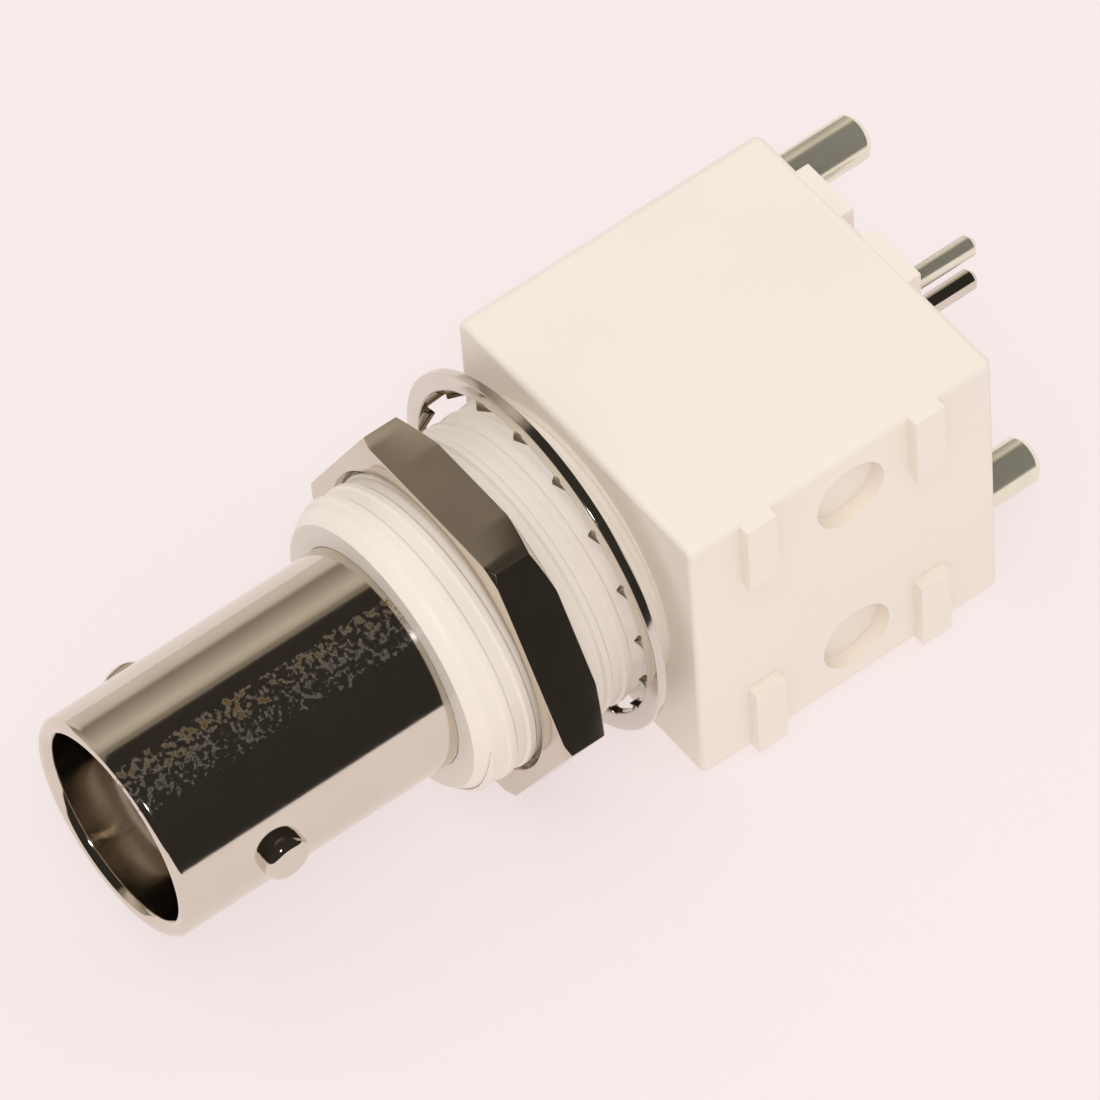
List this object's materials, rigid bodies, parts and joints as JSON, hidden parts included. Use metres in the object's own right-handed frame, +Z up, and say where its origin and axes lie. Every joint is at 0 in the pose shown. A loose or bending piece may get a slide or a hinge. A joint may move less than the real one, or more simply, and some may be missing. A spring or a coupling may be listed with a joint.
{
  "type": "bnc pcb socket",
  "caption": "Straight insulated bayonet coaxial socket for a circuit board, with a moulded block, threaded bushing, thin hex nut, tooth lock washer, mounting posts and solder pins",
  "frame": {"origin": "the point where the connector axis meets the board, on the plane of the feet on the rear face", "axes": "+Y runs along the connector axis towards the board, so the mouth faces -Y; +Z is up as the part lies on its side; +X is the side with the spare feet"},
  "size_m": [0.0168, 0.0413, 0.0157],
  "materials": {
    "white_plastic": "satin moulded white",
    "cover_plastic": "moulded off-white",
    "barrel_plating": "bright nickel plate",
    "lug_plating": "bright nickel plate",
    "insulator_plastic": "natural white",
    "contact_plating": "nickel plate",
    "pin_plating": "tin plate",
    "post_plating": "satin tin plate",
    "nut_plating": "bright nickel plate",
    "washer_plating": "bright nickel plate"
  },
  "bodies": {
    "root": {"housing": "white_plastic", "back_cover": "cover_plastic", "barrel": "barrel_plating", "lug_left": "lug_plating", "lug_right": "lug_plating", "front_insulator": "insulator_plastic", "rear_insulator": "insulator_plastic", "centre_contact": "contact_plating", "earth_strap": "pin_plating", "upper_post": "post_plating", "lower_post": "post_plating", "hex_nut": "nut_plating", "lock_washer": "washer_plating"}
  },
  "joints": []
}
